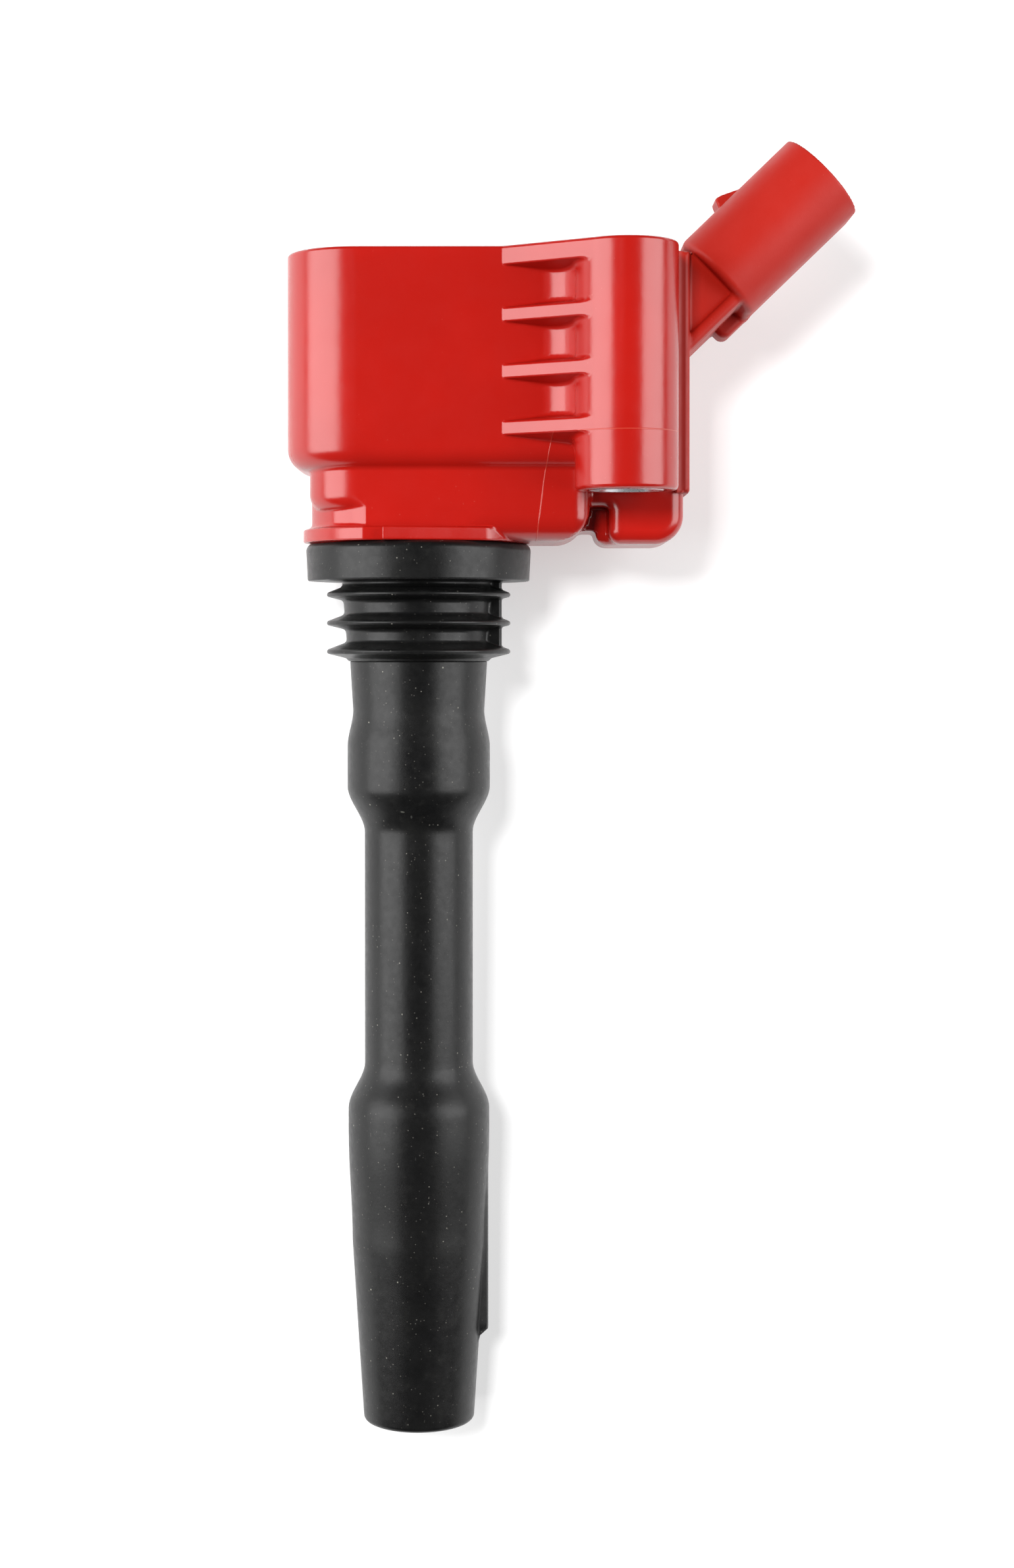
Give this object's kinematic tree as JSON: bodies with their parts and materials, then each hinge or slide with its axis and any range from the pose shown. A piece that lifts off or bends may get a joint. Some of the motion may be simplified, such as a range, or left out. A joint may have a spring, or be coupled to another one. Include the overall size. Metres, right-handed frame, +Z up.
{
  "type": "ignition coil",
  "caption": "Plug-top ignition coil with a red moulded head, an angled connector, a bolt boss, a ribbed seal, and a long rubber boot with a sprung contact.",
  "frame": {"origin": "centre of the spark plug bore at the boot's open end", "axes": "+Z up the boot's axis to the head, +X to the side that the connector leans to, -Y to the side that the bolt boss stands on"},
  "size_m": [0.0849, 0.0434, 0.193],
  "materials": {
    "case_red": "moulded glossy red polyester",
    "connector_red": "fine grained moulded red polyester",
    "boot_rubber": "satin black silicone rubber",
    "zinc_steel": "zinc plated",
    "tinned_blade": "tin plated",
    "black_resin": "cast epoxy",
    "core_steel": "stacked laminations",
    "magnet_grey": "sintered ferrite",
    "buffer_foam": "closed cell foam",
    "bobbin_cream": "moulded",
    "bobbin_black": "moulded",
    "copper_wire": "enamelled copper",
    "driver_black": "moulded compound",
    "copper_plate": "bare copper",
    "capacitor_blue": "dipped",
    "contact_brass": "turned",
    "resistor_ceramic": "glazed ceramic",
    "cap_steel": "nickel plated",
    "spring_steel": "stainless wire"
  },
  "bodies": {
    "coil": {"case": "case_red", "top_cover": "case_red", "connector_housing": "connector_red", "boot": "boot_rubber", "seal_grommet": "boot_rubber", "bolt_sleeve": "zinc_steel", "terminal_1": "tinned_blade", "terminal_2": "tinned_blade", "terminal_3": "tinned_blade", "terminal_4": "tinned_blade", "igniter_leads": "tinned_blade", "potting_resin": "black_resin", "yoke_core": "core_steel", "center_core": "core_steel", "bias_magnet": "magnet_grey", "core_buffers": "buffer_foam", "primary_bobbin": "bobbin_cream", "secondary_bobbin": "bobbin_black", "primary_winding": "copper_wire", "secondary_winding": "copper_wire", "primary_leads": "copper_wire", "igniter_package": "driver_black", "hv_diode": "driver_black", "heat_spreader": "copper_plate", "noise_capacitor": "capacitor_blue", "hv_terminal": "contact_brass", "resistor_body": "resistor_ceramic", "resistor_caps": "cap_steel", "contact_spring": "spring_steel"},
    "contact": {"plug_contact": "contact_brass"}
  },
  "joints": [
    {"name": "contact_travel", "type": "slide", "parent": "coil", "child": "contact", "axis": [0, 0, 1], "range_m": [0, 0.004], "stiffness_N_per_m": 600, "deforming": ["contact_spring"]}
  ]
}
